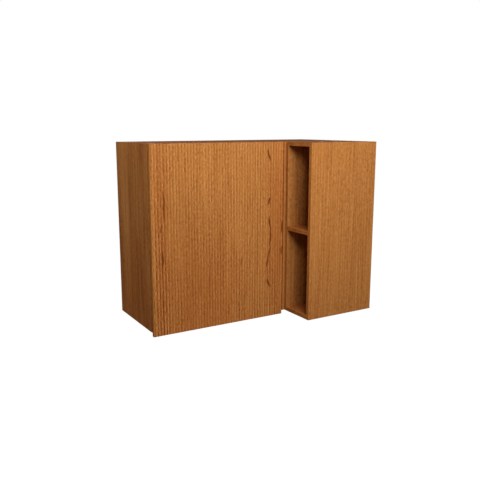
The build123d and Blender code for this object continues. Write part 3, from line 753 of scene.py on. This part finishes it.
class CABINET_OT_hinges(bpy.types.Operator):
    """Finish the hinges and fit their screws"""
    bl_idname = "cabinet.hinges"
    bl_label = "Hinges"

    def execute(self, context):
        hardware = context.scene.cabinet_looks.hardware
        nickel = plated_finish("hinge_nickel", hardware.nickel, polish=0.20)
        steel = plated_finish("hinge_screw_steel", hardware.fastener, polish=0.26)
        for node in ("hinge_cups", "hinge_arms", "hinge_plates"):
            dress(node, nickel)
        dress("hinge_pins", steel)
        screw_group(
            "plate_screws", "hinge_plate_screws", TO_RIGHT, "cabinet", steel,
            head_height=0.0024, shank_radius=0.0025)
        screw_group(
            "arm_screws", "hinge_arm_screws", TO_RIGHT, "cabinet", steel,
            head_height=0.0025, shank_radius=0.0024)
        screw_group(
            "cup_screws", "hinge_cup_screws", TO_WALL, "door", steel,
            head_height=0.0009, shank_radius=0.0017)
        return {"FINISHED"}


class CABINET_OT_hangers(bpy.types.Operator):
    """Finish the wall rail and the cabinet hangers and fit their screws"""
    bl_idname = "cabinet.hangers"
    bl_label = "Hangers and Rail"

    def execute(self, context):
        hardware = context.scene.cabinet_looks.hardware
        galvanised = galvanised_finish("galvanised_strip", hardware.galvanised, hardware.spangle)
        for node in ("wall_rail", "left_hanger_hook", "right_hanger_hook"):
            dress(node, galvanised)
        body = moulded_finish("hanger_plastic", hardware.hanger, sheen_roughness=0.44)
        dress("left_hanger_body", body)
        dress("right_hanger_body", body)
        steel = plated_finish("adjuster_steel", hardware.fastener, polish=0.26)
        screw_group(
            "adjusting_screws", "hanger_adjusters", TO_ROOM, "cabinet", steel,
            head_height=0.0025, shank_radius=0.0024)
        return {"FINISHED"}


class CABINET_OT_joinery(bpy.types.Operator):
    """Finish dowels, cams, bolts and shelf supports, and fit rims, caps and screws"""
    bl_idname = "cabinet.joinery"
    bl_label = "Joinery"

    def execute(self, context):
        hardware = context.scene.cabinet_looks.hardware
        beech = beech_finish("dowel_beech", hardware.beech)
        zinc = cast_finish("cam_zinc", hardware.zinc)
        steel = plated_finish("joinery_steel", hardware.fastener, polish=0.28)
        cap = moulded_finish("cap_plastic", hardware.cap, sheen_roughness=0.40, shine=0.08)
        for unit in ("cabinet", "niche"):
            dress(unit + "_dowels", beech)
            dress(unit + "_cams", zinc)
            dress(unit + "_cam_bolts", steel)
        rim_group("cabinet_cam_rims", "cabinet_cams", "top_panel", zinc)
        rim_group("niche_cam_rims", "niche_cams", "niche_top", zinc)
        cap_group("cabinet_cap_discs", "cabinet_cam_caps", UPWARDS, cap)
        cap_group("niche_cap_discs", "niche_cam_caps", DOWNWARDS, cap)
        long_screws = (("stile_board_screws", "stile_screws"), ("niche_joining_screws", "joining_screws"))
        for name, node in long_screws:
            screw_group(name, node, TO_WALL, "cabinet", steel, head_height=0.0024, shank_radius=0.0020)
        dress("shelf_supports", plated_finish(
            "support_nickel", hardware.nickel, polish=0.24, brushed=(40.0, 300.0, 300.0)))
        return {"FINISHED"}


class CABINET_OT_stage(bpy.types.Operator):
    """Set the camera, the lamps, the floor and the white background"""
    bl_idname = "cabinet.stage"
    bl_label = "Stage"

    def execute(self, context):
        stage = context.scene.cabinet_looks.stage
        scene = context.scene
        scene.view_settings.view_transform = "Standard"
        lens = bpy.data.cameras.new("front_left_camera")
        lens.lens = stage.camera_lens
        lens.sensor_width = SENSOR_WIDTH
        camera = bpy.data.objects.new("front_left_camera", lens)
        camera.location = stage.camera_place
        camera.rotation_euler = stage.camera_turn
        scene.collection.objects.link(camera)
        scene.camera = camera
        self.soft_box(
            scene, "front_soft_box", stage.key_place, stage.key_power,
            target=(0.0, -0.35, -0.10), size=(1.2, 0.6))
        self.soft_box(
            scene, "side_soft_box", stage.side_place, stage.side_power,
            target=(-0.47, -0.20, 0.0), size=(0.6, 0.5))
        self.soft_box(
            scene, "rear_soft_box", stage.rear_place, stage.rear_power,
            target=(0.10, 0.0, -0.30), size=(2.4, 0.7))
        self.background(scene, stage)
        self.floor(scene, stage)
        return {"FINISHED"}

    def soft_box(self, scene, name, middle, watts, target, size):
        """Rectangular lamp aimed at a point, hidden from the camera."""
        lamp = bpy.data.lights.new(name, "AREA")
        lamp.shape = "RECTANGLE"
        lamp.size, lamp.size_y = size
        lamp.energy = watts
        holder = bpy.data.objects.new(name, lamp)
        holder.location = middle
        holder.rotation_euler = (Vector(target) - Vector(middle)).to_track_quat("-Z", "Y").to_euler()
        holder.visible_camera = False
        scene.collection.objects.link(holder)

    def seen_directly(self, nodes, links):
        """Shader factor that is one for camera, glossy and transmission rays."""
        path = nodes.new("ShaderNodeLightPath")
        factor = path.outputs["Is Camera Ray"]
        for ray in ("Is Glossy Ray", "Is Transmission Ray"):
            either = nodes.new("ShaderNodeMath")
            either.operation = "MAXIMUM"
            links.new(factor, either.inputs[0])
            links.new(path.outputs[ray], either.inputs[1])
            factor = either.outputs[0]
        return factor

    def background(self, scene, stage):
        """White where it is seen, an even low light elsewhere."""
        world = bpy.data.worlds.new("white_background")
        world.use_nodes = True
        nodes, links = world.node_tree.nodes, world.node_tree.links
        even = nodes["Background"]
        even.inputs["Color"].default_value = (*stage.ambient_tint, 1.0)
        even.inputs["Strength"].default_value = stage.ambient
        white = nodes.new("ShaderNodeBackground")
        white.inputs["Color"].default_value = (1.0, 1.0, 1.0, 1.0)
        mix = nodes.new("ShaderNodeMixShader")
        links.new(self.seen_directly(nodes, links), mix.inputs[0])
        links.new(even.outputs[0], mix.inputs[1])
        links.new(white.outputs[0], mix.inputs[2])
        links.new(mix.outputs[0], nodes["World Output"].inputs["Surface"])
        scene.world = world

    def floor(self, scene, stage):
        """Pale floor below the cabinet, which keeps its shadow."""
        bm = bmesh.new()
        level = cad_box[0].z - stage.floor_drop
        corners = [(-1, -1), (1, -1), (1, 1), (-1, 1)]
        bm.faces.new([bm.verts.new((x * FLOOR_REACH, y * FLOOR_REACH, level)) for x, y in corners])
        mesh = bpy.data.meshes.new("pale_floor")
        bm.to_mesh(mesh)
        bm.free()
        floor = bpy.data.objects.new("pale_floor", mesh)
        scene.collection.objects.link(floor)
        material = bpy.data.materials.new("pale_floor")
        material.use_nodes = True
        nodes, links = material.node_tree.nodes, material.node_tree.links
        matt = nodes["Principled BSDF"]
        matt.inputs["Base Color"].default_value = (*stage.floor_white, 1.0)
        matt.inputs["Roughness"].default_value = FLOOR_ROUGHNESS
        glow = nodes.new("ShaderNodeEmission")
        strength = nodes.new("ShaderNodeMath")
        strength.operation = "MULTIPLY"
        links.new(self.seen_directly(nodes, links), strength.inputs[0])
        strength.inputs[1].default_value = stage.floor_glow
        links.new(strength.outputs[0], glow.inputs["Strength"])
        both = nodes.new("ShaderNodeAddShader")
        links.new(matt.outputs[0], both.inputs[0])
        links.new(glow.outputs[0], both.inputs[1])
        links.new(both.outputs[0], nodes["Material Output"].inputs["Surface"])
        mesh.materials.append(material)


class CABINET_PT_looks(bpy.types.Panel):
    """Lists the cabinet's settings and steps"""
    bl_idname = "CABINET_PT_looks"
    bl_label = "Corner Wall Cabinet"
    bl_space_type = "VIEW_3D"
    bl_region_type = "UI"
    bl_category = "Cabinet"

    def draw(self, context):
        looks = context.scene.cabinet_looks
        groups = (("Wood decor", looks.wood), ("Hardware", looks.hardware), ("Stage", looks.stage))
        for title, settings in groups:
            box = self.layout.box()
            box.label(text=title)
            for name in settings.bl_rna.properties.keys():
                if name not in ("rna_type", "name"):
                    box.prop(settings, name)
        column = self.layout.column(align=True)
        for operator in OPERATORS:
            column.operator(operator.bl_idname)


OPERATORS = (
    CABINET_OT_stage, CABINET_OT_carcass, CABINET_OT_niche, CABINET_OT_door, CABINET_OT_hinges,
    CABINET_OT_hangers, CABINET_OT_joinery)
SETTINGS = (WoodDecorSettings, HardwareSettings, StageSettings, CabinetLooks)


def register():
    for made in (*SETTINGS, *OPERATORS, CABINET_PT_looks):
        bpy.utils.register_class(made)
    bpy.types.Scene.cabinet_looks = PointerProperty(
        type=CabinetLooks, name="Cabinet looks", description="Settings of the corner wall cabinet")


def unregister():
    del bpy.types.Scene.cabinet_looks
    for made in reversed((*SETTINGS, *OPERATORS, CABINET_PT_looks)):
        bpy.utils.unregister_class(made)


def main():
    register()
    bpy.ops.cabinet.stage()
    bpy.ops.cabinet.carcass()
    bpy.ops.cabinet.niche()
    bpy.ops.cabinet.door()
    bpy.ops.cabinet.hinges()
    bpy.ops.cabinet.hangers()
    bpy.ops.cabinet.joinery()


if __name__ == "__main__":
    main()
